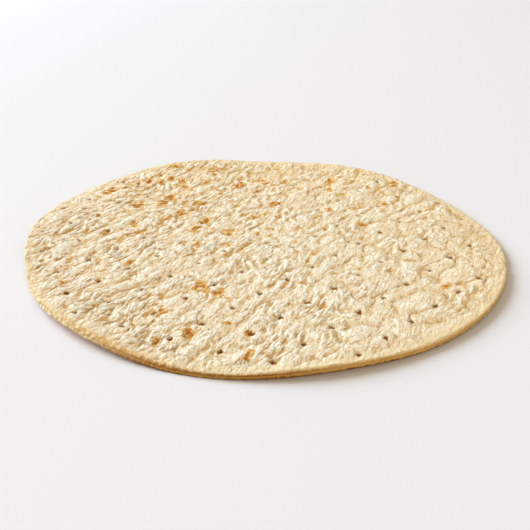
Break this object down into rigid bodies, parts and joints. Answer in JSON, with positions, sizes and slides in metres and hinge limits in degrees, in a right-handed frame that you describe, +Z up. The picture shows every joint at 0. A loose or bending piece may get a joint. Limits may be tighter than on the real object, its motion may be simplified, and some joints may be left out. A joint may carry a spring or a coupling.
{
  "type": "pizza crust",
  "caption": "Thin round par-baked pizza crust, flat underneath, with a puffed and creased pale skin, docking pricks and an edge that curls up in places.",
  "frame": {"origin": "middle of the flat underside, on the surface that the crust lies on", "axes": "+Z up out of the pricked top skin, +Y away from the viewer of the picture, +X to the viewer's right"},
  "size_m": [0.3094, 0.3018, 0.0093],
  "materials": {
    "baked_dough": "dry matte baked dough, pale cream with small toasted spots and an ochre edge"
  },
  "bodies": {
    "root": {"crust": "baked_dough"}
  },
  "joints": []
}
